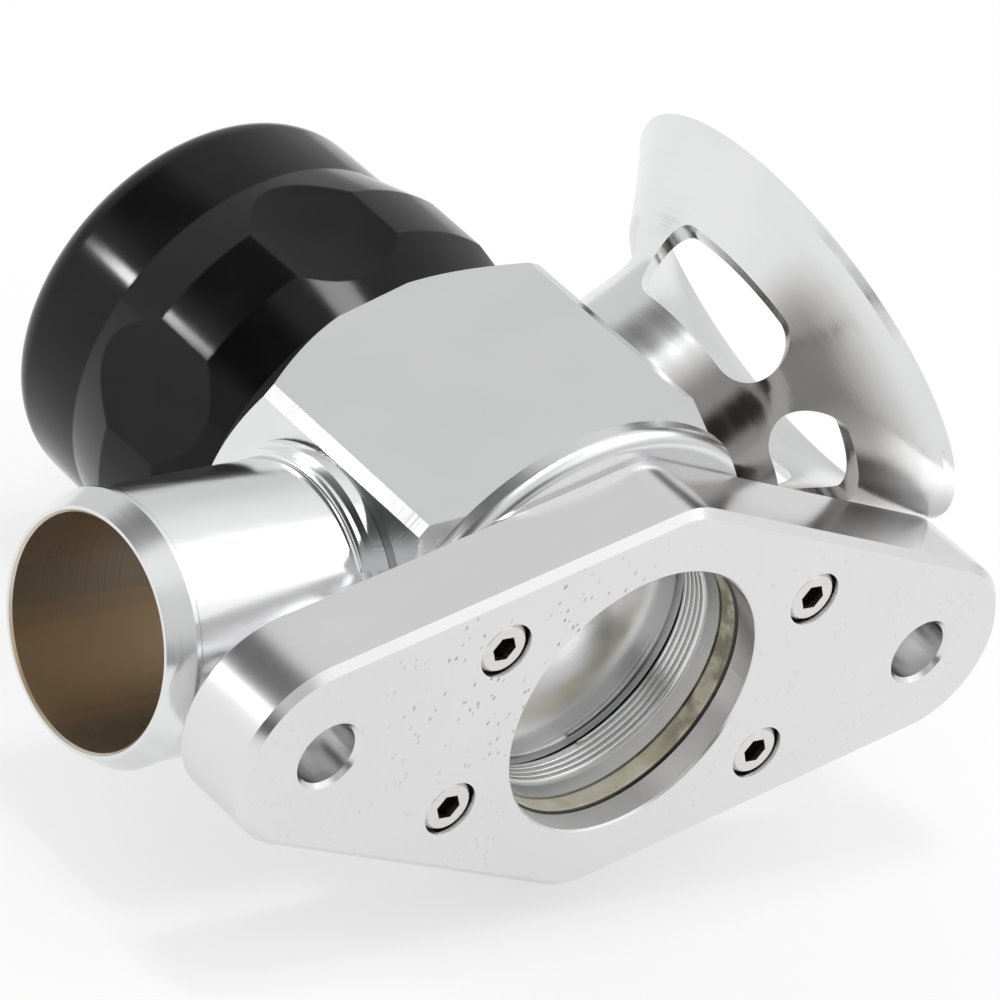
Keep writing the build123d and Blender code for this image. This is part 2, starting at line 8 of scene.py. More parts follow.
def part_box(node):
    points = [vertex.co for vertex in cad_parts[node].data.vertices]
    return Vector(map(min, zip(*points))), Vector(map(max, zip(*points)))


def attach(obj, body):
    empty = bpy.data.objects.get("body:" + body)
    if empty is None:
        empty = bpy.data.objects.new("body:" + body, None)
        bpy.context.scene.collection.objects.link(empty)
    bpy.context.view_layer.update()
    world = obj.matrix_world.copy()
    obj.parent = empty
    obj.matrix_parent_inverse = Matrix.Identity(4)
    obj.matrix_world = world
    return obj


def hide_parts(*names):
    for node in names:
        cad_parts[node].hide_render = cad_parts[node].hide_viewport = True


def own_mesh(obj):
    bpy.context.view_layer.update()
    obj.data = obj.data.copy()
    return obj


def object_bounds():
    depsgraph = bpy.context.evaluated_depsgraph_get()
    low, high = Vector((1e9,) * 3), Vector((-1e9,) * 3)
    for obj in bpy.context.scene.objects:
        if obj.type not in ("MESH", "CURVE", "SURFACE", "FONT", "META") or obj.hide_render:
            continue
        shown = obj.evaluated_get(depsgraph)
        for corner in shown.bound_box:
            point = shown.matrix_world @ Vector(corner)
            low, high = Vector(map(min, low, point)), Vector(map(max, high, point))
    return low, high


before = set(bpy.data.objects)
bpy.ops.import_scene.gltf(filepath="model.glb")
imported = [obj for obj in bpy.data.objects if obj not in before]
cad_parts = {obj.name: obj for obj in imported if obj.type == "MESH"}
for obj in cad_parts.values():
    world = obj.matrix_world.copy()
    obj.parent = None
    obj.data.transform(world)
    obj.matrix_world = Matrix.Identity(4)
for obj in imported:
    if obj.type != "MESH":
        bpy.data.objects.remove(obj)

cad_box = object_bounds()

# The part stands in metres: +Y runs along the piston from the mating face to the cap, and Z is up.

# Sizes of the solids that the pieces and finishes here follow
PORT_H = 0.026
AZ_HOSE = 177.65
AZ_TRUMPET = -35.0
THROAT_R = 0.01440
NECK_R = 0.020

# Threads and spring that are made here: the ridge's foot and tip are half widths as shares of the pitch, and
# it is sunk into its wall by a share of its depth
THROAT_THREAD = (0.0072, 0.0103)
THROAT_PITCH = 0.0007
THROAT_DEPTH = 0.00034
NECK_THREAD = (0.0508, 0.0575)
NECK_PITCH = 0.0015
NECK_DEPTH = 0.00022
RIDGE_FOOT = 0.46
RIDGE_TIP = 0.08
RIDGE_SINK = 0.2
HELIX_STEPS = 96
WIRE = 0.0022
COILS = 7
COIL_STEPS = 64
WIRE_SIDES = 12

# Cap, for the fluted one that is made here: radii, heights from the mating face, and one flute's azimuth
CAP_LOW = 0.04255
CAP_SKIRT_R = 0.0214
CAP_BELT_R = 0.02365
BELT_LOW = 0.0485
BELT_HIGH = 0.05625
CROWN_LOW_R = 0.0218
CROWN_LOW = 0.0634
CROWN_HIGH_R = 0.0216
CAP_TOP = 0.0754
CROWN_FILLET = 0.004
CAVITY_MOUTH_R = 0.0203
CAVITY_LOW = 0.0597
CAVITY_R = 0.0186
CAVITY_TOP = 0.0709
NIPPLE_HOLE_R = 0.00405
FLUTE_COUNT = 6
FLUTE_TURN = 192.6
FLUTE_R = 0.040
FLUTE_LOW = 0.0445
FLUTE_LOW_R = 0.0224
FLUTE_HIGH = 0.061
FLUTE_HIGH_R = 0.0223
CROWN_STEPS = 16
CAP_SEGMENTS = 240
CUTTER_SEGMENTS = 480
SHARP_ANGLE = 9

# Colours of the bare aluminium
ALUMINIUM = (0.78, 0.783, 0.787)
ALUMINIUM_DARK = (0.76, 0.763, 0.768)
ALUMINIUM_LIGHT = (0.8, 0.802, 0.806)
FLANGE_METAL = (0.76, 0.757, 0.76)

# Where the finishes change: directions, radii of bores, and distances over which a tone comes or goes
TO_CAP = (0.0, 1.0, 0.0)
TO_FLANGE = (0.0, -1.0, 0.0)
ANY_BORE = (0.002, 0.004)
WIDE_BORE = (0.0135, 0.0145)
# Where the trumpet's painted dark reflection fades out along its axis
DARK_REFLECTION_END = (0.0355, 0.041)
# Low side of the outlet's bore, where a band of painted warm light lies
WARM_SIDE = (0.0, 0.555, -0.832)
# Low side of the flange's bore, which is made rougher and whitened with painted light
PAINTED_LIGHT_SIDE = (-0.2, 0.0, -0.98)
STAINED_SIDE = (0.96, 0.0, 0.28)
SPECKS_MIDDLE = (-0.018, 0.0, 0.009)
SPECKS_REACH = (0.006, 0.02)
SOCKET_SHADE = (0.0001, 0.0009)
SEAL_LINE = (0.0002, 0.00032)
CAP_EDGE = 0.0004

# The room as matt surfaces and as polished metal see it. A patch has its azimuth from +Y towards +X, its
# elevation, its inner and outer angle, and its brightness
MATT_ROOM_LEVEL = 0.9
ROOM_LEVEL = 0.92
ROOM_PATCHES = [
    (100.0, 50.0, 15.0, 50.0, 1.25),
    (-110.0, 68.0, 8.0, 26.0, 1.2),
    (-30.0, 66.0, 6.0, 18.0, 0.4),
    (-62.0, 44.0, 6.0, 26.0, 0.2),
    (-32.0, 44.0, 5.0, 22.0, 0.2),
    (-50.0, 2.0, 18.0, 28.0, 1.3),
    (-135.0, -8.0, 14.0, 38.0, 0.05),
    (-112.0, -16.0, 8.0, 20.0, 0.1),
    (150.0, 45.0, 12.0, 24.0, 1.5),
    (180.0, 20.0, 10.0, 20.0, 0.06),
    (-95.0, 40.0, 10.0, 24.0, 0.05),
    (40.0, 0.0, 4.0, 16.0, 0.7),
]

# Lamps, all at one distance: name, azimuth and elevation, size, watts
LAMP_DISTANCE = 0.9
LAMPS = [
    ("key", 110.0, 50.0, 0.5, 0.9),
    ("left", -46.0, 16.0, 0.07, 0.8),
    ("top", -62.0, 85.0, 0.2, 2.0),
]

# Floor: its size, its gap below the object, its grey, how far out the shadow shows, and how much white lies
# over the shadow in the middle
FLOOR_SIZE = 6.0
FLOOR_GAP = 0.0002
FLOOR_GREY = 0.95
SHADOW_REACH = 0.16
SHADOW_LIFT = 0.55

# Camera, fitted to the photograph
VIEW_AZIMUTH = 48.594
VIEW_ELEVATION = 28.074
VIEW_ROLL = 19.44
AIM = Vector((-0.00742, 0.01846, 0.01249))
DISTANCE = 0.7952
LENS = 296.48
SENSOR = 36.0


def outward(azimuth):
    """Unit direction away from the piston's axis."""
    return Vector((cos(radians(azimuth)), 0, -sin(radians(azimuth))))


def compass(azimuth, elevation):
    """Unit direction from its azimuth, from +Y towards +X, and its elevation."""
    level = cos(radians(elevation))
    return Vector((sin(radians(azimuth)) * level, cos(radians(azimuth)) * level, sin(radians(elevation))))


PISTON_AXIS = (Vector((0, 0, 0)), Vector((0, 1, 0)))
HOSE_AXIS = (Vector((0, PORT_H, 0)), outward(AZ_HOSE))
TRUMPET_AXIS = (Vector((0, PORT_H, 0)), outward(AZ_TRUMPET))


class Shader:
    """A node tree with a Principled shader, and short calls for the nodes that feed it."""

    def __init__(self, name, colour, metallic, roughness):
        self.material = bpy.data.materials.new(name)
        self.material.use_nodes = True
        self.tree = self.material.node_tree
        self.principled = self.tree.nodes["Principled BSDF"]
        self.principled.inputs["Base Color"].default_value = (*colour, 1)
        self.principled.inputs["Metallic"].default_value = metallic
        self.principled.inputs["Roughness"].default_value = roughness
        self.place = self.add("ShaderNodeTexCoord").outputs["Object"]
        self.normal = self.add("ShaderNodeNewGeometry").outputs["Normal"]

    def add(self, kind, **settings):
        node = self.tree.nodes.new(kind)
        for name, value in settings.items():
            setattr(node, name, value)
        return node

    def feed(self, socket, value):
        if isinstance(value, bpy.types.NodeSocket):
            self.tree.links.new(value, socket)
        else:
            socket.default_value = value

    def math(self, operation, *values):
        node = self.add("ShaderNodeMath", operation=operation)
        for socket, value in zip(node.inputs, values):
            self.feed(socket, value)
        return node.outputs[0]

    def vector(self, operation, *values, output=0):
        node = self.add("ShaderNodeVectorMath", operation=operation)
        for socket, value in zip(node.inputs, values):
            self.feed(socket, value)
        return node.outputs[output]

    def dot(self, a, b):
        return self.vector("DOT_PRODUCT", a, b, output=1)

    def scaled(self, vector, factor):
        node = self.add("ShaderNodeVectorMath", operation="SCALE")
        self.feed(node.inputs[0], vector)
        self.feed(node.inputs["Scale"], factor)
        return node.outputs[0]

    def remap(self, value, low, high, to_low, to_high):
        node = self.add("ShaderNodeMapRange", interpolation_type="SMOOTHSTEP")
        for socket, number in zip(node.inputs, (value, low, high, to_low, to_high)):
            self.feed(socket, number)
        return node.outputs[0]

    def noise(self, where, scale, detail):
        node = self.add("ShaderNodeTexNoise")
        self.feed(node.inputs["Vector"], where)
        node.inputs["Scale"].default_value = scale
        node.inputs["Detail"].default_value = detail
        return node.outputs[0]

    def line_noise(self, distance, scale, detail):
        node = self.add("ShaderNodeTexNoise", noise_dimensions="1D")
        self.feed(node.inputs["W"], distance)
        node.inputs["Scale"].default_value = scale
        node.inputs["Detail"].default_value = detail
        return node.outputs[0]

    def mix(self, factor, a, b):
        node = self.add("ShaderNodeMix", data_type="RGBA")
        colours = [socket for socket in node.inputs if socket.type == "RGBA"]
        self.feed(node.inputs[0], factor)
        for socket, value in zip(colours, (a, b)):
            self.feed(socket, (*value, 1) if isinstance(value, tuple) else value)
        return [socket for socket in node.outputs if socket.type == "RGBA"][0]

    def bump(self, height, distance, onto=None):
        node = self.add("ShaderNodeBump")
        self.feed(node.inputs["Height"], height)
        node.inputs["Distance"].default_value = distance
        if onto is not None:
            self.feed(node.inputs["Normal"], onto)
        return node.outputs[0]

    def about(self, axis):
        """Distance along an axis, distance from it, and the vector from it to the place."""
        point, direction = axis
        arm = self.vector("SUBTRACT", self.place, tuple(point))
        along = self.dot(arm, tuple(direction))
        across = self.vector("SUBTRACT", arm, self.scaled(tuple(direction), along))
        return along, self.vector("LENGTH", across, output=1), across

    def bore(self, across, radii):
        """1 on walls that face the axis from beyond both radii, 0 on nearer ones and on outward faces."""
        return self.remap(self.dot(self.normal, across), -radii[1], -radii[0], 1, 0)

    def turned(self, axis, marks, spacing=0.00032):
        """Path across the fine rings that a lathe leaves about the axis, and the normal that shows them."""
        along, away, across = self.about(axis)
        path = self.math("ADD", along, away)
        rings = self.line_noise(path, 1 / spacing, 1.5)
        tangent = self.vector("NORMALIZE", self.vector("CROSS_PRODUCT", across, tuple(axis[1])))
        self.feed(self.principled.inputs["Tangent"], tangent)
        return path, self.bump(rings, marks)

    def finish(self, roughness=None, normal=None, colour=None):
        for name, value in (("Roughness", roughness), ("Normal", normal), ("Base Color", colour)):
            if value is not None:
                self.feed(self.principled.inputs[name], value)
        return self.material


# Finishes
def clear_turned(name, axis, anisotropy, low, high, marks, painted_reflection=False):
    """Polished turned aluminium, with the option of a painted dark brown reflection on the trumpet's throat,
    on its side towards the flange.
    """
    s = Shader(name, ALUMINIUM, 1.0, low)
    s.principled.inputs["Anisotropic"].default_value = anisotropy
    path, rings = s.turned(axis, marks)
    bands = s.line_noise(path, 700.0, 3.0)
    cloud = s.noise(s.place, 90.0, 3.0)
    rough = s.remap(s.math("ADD", bands, cloud), 0.7, 1.3, low, high)
    tone = s.mix(s.remap(cloud, 0.35, 0.7, 0, 1), ALUMINIUM_DARK, ALUMINIUM_LIGHT)
    # Painted reflection: the throat's side towards the flange turns dark brown, standing in for a dark
    # reflection there.
    if painted_reflection:
        along, _, across = s.about(axis)
        side = s.dot(s.vector("NORMALIZE", across), TO_FLANGE)
        throat = s.remap(along, *DARK_REFLECTION_END, 0.8, 0)
        brown = s.math("MULTIPLY", s.remap(side, 0.3, 0.65, 0, 1), throat)
        tone = s.mix(brown, tone, (0.2, 0.185, 0.165))
    return s.finish(rough, rings, tone)


def hose_finish():
    """The outlet tube: turned outside, and a dull brown bore with a band of painted warm light low down."""
    s = Shader("hose_outlet_finish", ALUMINIUM, 1.0, 0.16)
    s.principled.inputs["Anisotropic"].default_value = 0.55
    path, rings = s.turned(HOSE_AXIS, marks=0.000003)
    across = s.about(HOSE_AXIS)[2]
    inside = s.bore(across, ANY_BORE)
    streaks = s.line_noise(path, 2600.0, 2.0)
    round_way = s.vector("NORMALIZE", across)
    brushed = s.noise(round_way, 9.0, 3.0)
    # Painted light: a bright warm band on the bore's low side stands in for the light that falls there.
    low_side = s.dot(round_way, WARM_SIDE)
    warm = s.remap(s.math("ADD", low_side, s.math("MULTIPLY", brushed, 0.16)), 0.86, 1.07, 0, 1)
    dull = s.mix(streaks, (0.62, 0.55, 0.47), (0.8, 0.73, 0.64))
    bore = s.mix(warm, dull, (1.0, 0.8, 0.54))
    cloud = s.noise(s.place, 80.0, 3.0)
    shell = s.mix(s.remap(cloud, 0.35, 0.7, 0, 1), ALUMINIUM_DARK, ALUMINIUM_LIGHT)
    rough = s.math("ADD", s.remap(cloud, 0.3, 0.7, 0.12, 0.2), s.math("MULTIPLY", inside, 0.26))
    return s.finish(rough, rings, s.mix(inside, shell, bore))


def flange_finish():
    """Satin plate: specks on its face, fine lines across its sides and bores, and a rougher lower bore
    whitened with painted light.
    """
    s = Shader("flange_finish", FLANGE_METAL, 1.0, 0.24)
    s.principled.inputs["Anisotropic"].default_value = 0.2
    cloud = s.noise(s.place, 70.0, 4.0)
    grain = s.noise(s.place, 5200.0, 2.0)
    cells = s.add("ShaderNodeTexVoronoi", feature="F1")
    s.feed(cells.inputs["Vector"], s.vector("MULTIPLY", s.place, (1.0, 1.0, 0.6)))
    cells.inputs["Scale"].default_value = 1300.0
    patches = s.remap(s.noise(s.place, 260.0, 3.0), 0.44, 0.54, 0, 1)
    front = s.remap(s.dot(s.normal, TO_FLANGE), 0.9, 0.95, 0, 1)
    near = s.remap(s.vector("DISTANCE", s.place, SPECKS_MIDDLE, output=1), *SPECKS_REACH, 1, 0.15)
    dots = s.math("MULTIPLY", s.remap(cells.outputs["Distance"], 0.14, 0.26, 1, 0), patches)
    speck = s.math("MULTIPLY", dots, s.math("MULTIPLY", near, front))
    lines = s.line_noise(s.dot(s.place, TO_CAP), 3000.0, 1.0)
    across = s.about(PISTON_AXIS)[2]
    bore = s.bore(across, WIDE_BORE)
    # Painted light: the bore's low side is made rougher and whitened, standing in for the bright light that
    # lies there.
    low_side = s.dot(s.vector("NORMALIZE", across), PAINTED_LIGHT_SIDE)
    rough_and_painted_light = s.math("MULTIPLY", bore, s.remap(low_side, 0.55, 0.85, 0, 0.4))
    rough = s.math("ADD", s.remap(cloud, 0.3, 0.7, 0.19, 0.27), rough_and_painted_light)
    tone = s.mix(s.math("MULTIPLY", speck, 0.8), FLANGE_METAL, (0.3, 0.28, 0.26))
    # Painted light whitens the low side of the bore.
    tone = s.mix(rough_and_painted_light, tone, (1.0, 1.0, 1.0))
    rough_skin = s.math("ADD", s.math("MULTIPLY", grain, 0.35), lines)
    height = s.math("ADD", rough_skin, s.math("MULTIPLY", speck, -4.0))
    return s.finish(rough, s.bump(height, 0.000002), tone)


def body_finish():
    """Milled sides with fine marks and rings, a smooth foot and cove, and a brushed bore lightened with
    painted light.
    """
    s = Shader("valve_body_finish", ALUMINIUM, 1.0, 0.2)
    s.principled.inputs["Anisotropic"].default_value = 0.35
    rings = s.turned(PISTON_AXIS, marks=0.000012, spacing=0.00042)[1]
    facing = s.math("ABSOLUTE", s.dot(s.normal, TO_CAP))
    foot = s.remap(facing, 0.15, 0.3, 0, 1)
    sides = s.math("SUBTRACT", 1.0, foot)
    cloud = s.noise(s.place, 85.0, 4.0)
    stretched = s.vector("MULTIPLY", s.place, (1.0, 0.04, 1.0))
    mill = s.noise(stretched, 2400.0, 2.0)
    height = s.math("MULTIPLY", sides, mill)
    # On the foot the normal comes to nothing, and the renderer takes the surface's own, without rings
    ringed = s.scaled(rings, sides)
    bore = s.bore(s.about(PISTON_AXIS)[2], WIDE_BORE)
    rough = s.math("ADD", s.remap(cloud, 0.3, 0.7, 0.16, 0.24), s.math("MULTIPLY", foot, 0.05))
    rough = s.math("ADD", rough, s.math("MULTIPLY", bore, 0.25))
    tone = s.mix(s.remap(cloud, 0.35, 0.7, 0, 1), (0.765, 0.768, 0.773), ALUMINIUM_LIGHT)
    # Painted light: the bore is lightened, standing in for the light that bounces inside it.
    tone = s.mix(bore, tone, (0.95, 0.95, 0.95))
    return s.finish(rough, s.bump(height, 0.0000012, onto=ringed), tone)


def cap_finish():
    """Glossy black anodised skin, with its edges a little rounded."""
    s = Shader("cap_finish", (0.004, 0.004, 0.0045), 0.0, 0.16)
    s.principled.inputs["Specular IOR Level"].default_value = 0.2
    soft = s.add("ShaderNodeBevel", samples=4)
    soft.inputs["Radius"].default_value = CAP_EDGE
    cloud = s.noise(s.place, 120.0, 4.0)
    grain = s.noise(s.place, 6500.0, 2.0)
    tone = s.mix(s.remap(cloud, 0.3, 0.7, 0, 1), (0.003, 0.003, 0.0034), (0.006, 0.006, 0.0064))
    skin = s.bump(grain, 0.0000006, onto=soft.outputs[0])
    return s.finish(s.remap(cloud, 0.3, 0.7, 0.1, 0.15), skin, tone)


def steel_finish():
    """Bright nickel-toned steel, darkened with painted shade by depth, in the sockets and beside the heads.
    """
    s = Shader("screw_finish", (0.74, 0.72, 0.69), 1.0, 0.24)
    cloud = s.noise(s.place, 900.0, 3.0)
    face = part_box("flange_screws")[0].y
    # Painted shade: the steel darkens with depth in from the screws' face, in the sockets and beside the
    # heads.
    painted_socket_shade = s.remap(s.dot(s.place, TO_CAP), face + SOCKET_SHADE[0], face + SOCKET_SHADE[1], 0, 1)
    tone = s.mix(painted_socket_shade, s.mix(cloud, (0.66, 0.64, 0.61), (0.82, 0.8, 0.78)), (0.1, 0.08, 0.06))
    return s.finish(s.remap(cloud, 0.3, 0.7, 0.2, 0.34), s.bump(cloud, 0.000003), tone)


def piston_finish():
    """Fine turned aluminium with soft clouding."""
    s = Shader("piston_finish", (0.84, 0.84, 0.845), 1.0, 0.12)
    s.principled.inputs["Anisotropic"].default_value = 0.3
    rings = s.turned(PISTON_AXIS, marks=0.000002, spacing=0.0002)[1]
    cloud = s.noise(s.place, 140.0, 3.0)
    tone = s.mix(cloud, (0.92, 0.92, 0.925), (0.98, 0.98, 0.985))
    return s.finish(s.remap(cloud, 0.3, 0.7, 0.16, 0.24), rings, tone)


def rubber_finish():
    s = Shader("rubber_finish", (0.02, 0.02, 0.02), 0.0, 0.6)
    grain = s.noise(s.place, 2500.0, 3.0)
    tone = s.mix(grain, (0.014, 0.014, 0.014), (0.035, 0.035, 0.034))
    return s.finish(s.remap(grain, 0.3, 0.7, 0.5, 0.7), s.bump(grain, 0.000008), tone)


def seal_finish():
    """Pale, slightly yellow seal, stained on one side, with a dark line at its front edge."""
    s = Shader("pale_seal_finish", (0.7, 0.66, 0.48), 0.0, 0.3)
    cloud = s.noise(s.place, 260.0, 4.0)
    along, _, across = s.about(PISTON_AXIS)
    side = s.dot(s.vector("NORMALIZE", across), STAINED_SIDE)
    blotches = s.remap(s.noise(s.place, 420.0, 3.0), 0.35, 0.6, 0.25, 1)
    stain = s.math("MULTIPLY", s.remap(side, 0.3, 0.8, 0, 1), blotches)
    cream = s.mix(s.remap(cloud, 0.35, 0.7, 0, 1), (0.68, 0.64, 0.48), (0.84, 0.81, 0.7))
    tone = s.mix(stain, cream, (0.27, 0.25, 0.17))
    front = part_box("flange_seal")[0].y
    line = s.remap(along, front + SEAL_LINE[0], front + SEAL_LINE[1], 1, 0)
    tone = s.mix(line, tone, (0.02, 0.018, 0.015))
    return s.finish(s.remap(cloud, 0.3, 0.7, 0.24, 0.4), s.bump(cloud, 0.00003), tone)


def wear_band_finish():
    s = Shader("wear_band_finish", (0.3, 0.2, 0.11), 0.0, 0.5)
    cloud = s.noise(s.place, 1500.0, 3.0)
    tone = s.mix(cloud, (0.22, 0.15, 0.08), (0.38, 0.26, 0.15))
    return s.finish(s.remap(cloud, 0.3, 0.7, 0.4, 0.6), s.bump(cloud, 0.000004), tone)


def spring_finish():
    s = Shader("spring_finish", (0.42, 0.42, 0.43), 1.0, 0.3)
    cloud = s.noise(s.place, 700.0, 3.0)
    tone = s.mix(cloud, (0.36, 0.36, 0.37), (0.5, 0.5, 0.51))
    return s.finish(s.remap(cloud, 0.3, 0.7, 0.24, 0.4), s.bump(cloud, 0.000003), tone)


def brass_finish():
    s = Shader("nipple_finish", (0.78, 0.6, 0.3), 1.0, 0.2)
    rings = s.turned(PISTON_AXIS, marks=0.000003)[1]
    cloud = s.noise(s.place, 500.0, 3.0)
    tone = s.mix(cloud, (0.7, 0.52, 0.24), (0.84, 0.66, 0.36))
    return s.finish(s.remap(cloud, 0.3, 0.7, 0.16, 0.28), rings, tone)


def dress(material, *nodes):
    """Gives CAD nodes a finish."""
    for node in nodes:
        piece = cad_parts[node]
        piece.data.materials.clear()
        piece.data.materials.append(material)


# Pieces made here
def new_piece(name, mesh, material, body):
    piece = bpy.data.objects.new(name, mesh)
    bpy.context.scene.collection.objects.link(piece)
    mesh.materials.append(material)
    for face in mesh.polygons:
        face.use_smooth = True
    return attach(piece, body)


def swept_ring(name, path, section):
    """Mesh of a closed section carried along a path, with both ends shut.

    Each step of the path is its place, and the directions that the section's x and y take there.
    """
    mesh = bmesh.new()
    loops = [[mesh.verts.new(place + a * x + b * y) for x, y in section] for place, a, b in path]
    for first, second in zip(loops, loops[1:]):
        for i in range(len(section)):
            j = (i + 1) % len(section)
            mesh.faces.new((first[i], first[j], second[j], second[i]))
    mesh.faces.new(loops[0][::-1])
    mesh.faces.new(loops[-1])
    bmesh.ops.recalc_face_normals(mesh, faces=mesh.faces)
    data = bpy.data.meshes.new(name)
    mesh.to_mesh(data)
    mesh.free()
    return data


def helix_step(angle, radius, height):
    """One step of a path round the piston's axis, with x outward and y along the axis."""
    away = Vector((sin(angle), 0, cos(angle)))
    return away * radius + Vector((0, height, 0)), away, Vector((0, 1, 0))


def thread(name, radius, depth, heights, pitch, material):
    """A fine thread as one raised ridge: depth is negative where the ridge points inward."""
    root = -depth * RIDGE_SINK
    foot, tip = pitch * RIDGE_FOOT, pitch * RIDGE_TIP
    section = [(root, -foot), (depth, -tip), (depth, tip), (root, foot)]
    low, high = heights
    count = ceil(HELIX_STEPS * (high - low) / pitch)
    path = []
    for i in range(count + 1):
        angle = tau * (high - low) / pitch * i / count
        path.append(helix_step(angle, radius, low + (high - low) * i / count))
    mesh = swept_ring(name, path, section)
    new_piece(name, mesh, material, "root")


def coil_spring(material):
    """The spring at its true section, with a closed coil at each end."""
    low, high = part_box("spring")
    radius = high.x - WIRE / 2
    free = high.y - low.y - 3 * WIRE
    path = []
    for i in range(COIL_STEPS * (COILS + 2) + 1):
        turn = i / COIL_STEPS
        closed = WIRE * (min(turn, 1) + max(turn - 1 - COILS, 0))
        rise = closed + free * min(max(turn - 1, 0), COILS) / COILS
        path.append(helix_step(tau * turn, radius, low.y + WIRE / 2 + rise))
    section = []
    for k in range(WIRE_SIDES):
        angle = tau * k / WIRE_SIDES
        section.append((cos(angle) * WIRE / 2, sin(angle) * WIRE / 2))
    mesh = swept_ring("spring_coil", path, section)
    piece = new_piece("spring_coil", mesh, material, "preload")
    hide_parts("spring")
    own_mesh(piece)


def cap_outline():
    """Closed outline of (radius, height): outside, rounded crown, then the cavity."""
    lean = atan2(CROWN_LOW_R - CROWN_HIGH_R, CAP_TOP - CROWN_LOW)
    top_r = CROWN_HIGH_R + CROWN_FILLET * sin(lean) / cos(lean)
    centre_r = top_r - CROWN_FILLET / cos(lean)
    centre_h = CAP_TOP - CROWN_FILLET
    crown = []
    for i in range(CROWN_STEPS + 1):
        angle = lean + (pi / 2 - lean) * i / CROWN_STEPS
        crown.append((centre_r + CROWN_FILLET * cos(angle), centre_h + CROWN_FILLET * sin(angle)))
    outside = [
        (CAP_SKIRT_R, CAP_LOW), (CAP_BELT_R, BELT_LOW), (CAP_BELT_R, BELT_HIGH), (CROWN_LOW_R, CROWN_LOW),
    ]
    cavity = [
        (NIPPLE_HOLE_R, CAP_TOP), (NIPPLE_HOLE_R, CAVITY_TOP), (CAVITY_R, CAVITY_TOP),
        (CAVITY_R, CAVITY_LOW), (CAVITY_MOUTH_R, CAVITY_LOW), (CAVITY_MOUTH_R, CAP_LOW),
    ]
    return outside + crown + cavity


def revolved(outline, segments):
    """Mesh of a closed outline of (radius, height) turned about the piston's axis."""
    mesh = bmesh.new()
    loops = []
    for i in range(segments):
        away = outward(360 * i / segments)
        loops.append([mesh.verts.new(away * radius + Vector((0, height, 0))) for radius, height in outline])
    for first, second in zip(loops, loops[1:] + loops[:1]):
        for i in range(len(outline)):
            j = (i + 1) % len(outline)
            mesh.faces.new((first[i], first[j], second[j], second[i]))
    bmesh.ops.recalc_face_normals(mesh, faces=mesh.faces)
    return mesh


def flute_cutter(azimuth):
    """A wide round cutter that leans along one flute."""
    away = outward(azimuth)
    lean = atan2(FLUTE_HIGH_R - FLUTE_LOW_R, FLUTE_HIGH - FLUTE_LOW)
    along = Vector((0, cos(lean), 0)) + away * sin(lean)
    centre = away * (FLUTE_LOW_R + FLUTE_R) + Vector((0, FLUTE_LOW, 0))
    place = Matrix.Translation(centre) @ along.to_track_quat("Z", "Y").to_matrix().to_4x4()
    mesh = bmesh.new()
    bmesh.ops.create_cone(
        mesh, cap_ends=True, segments=CUTTER_SEGMENTS, radius1=FLUTE_R, radius2=FLUTE_R, depth=2 * FLUTE_R,
        matrix=place,
    )
    return mesh


def loose_object(name, mesh):
    """Object from a bmesh, which is used up."""
    data = bpy.data.meshes.new(name)
    mesh.to_mesh(data)
    mesh.free()
    thing = bpy.data.objects.new(name, data)
    bpy.context.scene.collection.objects.link(thing)
    return thing


def fluted_cap(material):
    """The cap with all its flutes, some of which the solid lacks: a revolve, less one cutter for each."""
    blank = loose_object("cap_blank", revolved(cap_outline(), CAP_SEGMENTS))
    cutters = []
    for k in range(FLUTE_COUNT):
        cutter = loose_object("flute_cutter", flute_cutter(FLUTE_TURN + k * 360 / FLUTE_COUNT))
        modifier = blank.modifiers.new("flute", "BOOLEAN")
        modifier.operation = "DIFFERENCE"
        modifier.solver = "EXACT"
        modifier.object = cutter
        cutters.append(cutter)
    graph = bpy.context.evaluated_depsgraph_get()
    mesh = bpy.data.meshes.new_from_object(blank.evaluated_get(graph))
    for thing in [blank, *cutters]:
        bpy.data.objects.remove(thing)
    piece = new_piece("cap_fluted", mesh, material, "cap")
    mesh.set_sharp_from_angle(angle=radians(SHARP_ANGLE))
    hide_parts("cap")


# Stage
def emission_floor():
    """Pale floor that keeps the shadow near the object and runs out to white."""
    material = bpy.data.materials.new("floor")
    material.use_nodes = True
    tree = material.node_tree
    tree.nodes.clear()
    add, link = tree.nodes.new, tree.links.new

    def combine(operation, a, b):
        node = add("ShaderNodeMath")
        node.operation = operation
        link(a, node.inputs[0])
        link(b, node.inputs[1])
        return node.outputs[0]

    length = add("ShaderNodeVectorMath")
    length.operation = "LENGTH"
    link(add("ShaderNodeTexCoord").outputs["Object"], length.inputs[0])
    fade = add("ShaderNodeMapRange")
    fade.interpolation_type = "SMOOTHSTEP"
    fade.inputs[1].default_value = 0.0
    fade.inputs[2].default_value = SHADOW_REACH
    fade.inputs[3].default_value = SHADOW_LIFT
    link(length.outputs[1], fade.inputs[0])
    path = add("ShaderNodeLightPath")
    seen = combine("MAXIMUM", path.outputs["Is Camera Ray"], path.outputs["Is Glossy Ray"])
    seen = combine("MAXIMUM", seen, path.outputs["Is Transmission Ray"])
    diffuse = add("ShaderNodeBsdfDiffuse")
    diffuse.inputs["Color"].default_value = (FLOOR_GREY, FLOOR_GREY, FLOOR_GREY, 1)
    mix = add("ShaderNodeMixShader")
    link(combine("MULTIPLY", seen, fade.outputs[0]), mix.inputs[0])
    link(diffuse.outputs[0], mix.inputs[1])
    link(add("ShaderNodeEmission").outputs[0], mix.inputs[2])
    link(mix.outputs[0], add("ShaderNodeOutputMaterial").inputs[0])
    return material


def make_floor():
    bpy.ops.mesh.primitive_plane_add(size=FLOOR_SIZE, location=(0, 0, cad_box[0].z - FLOOR_GAP))
    floor = bpy.context.object
    floor.name = "floor"
    floor.data.materials.append(emission_floor())


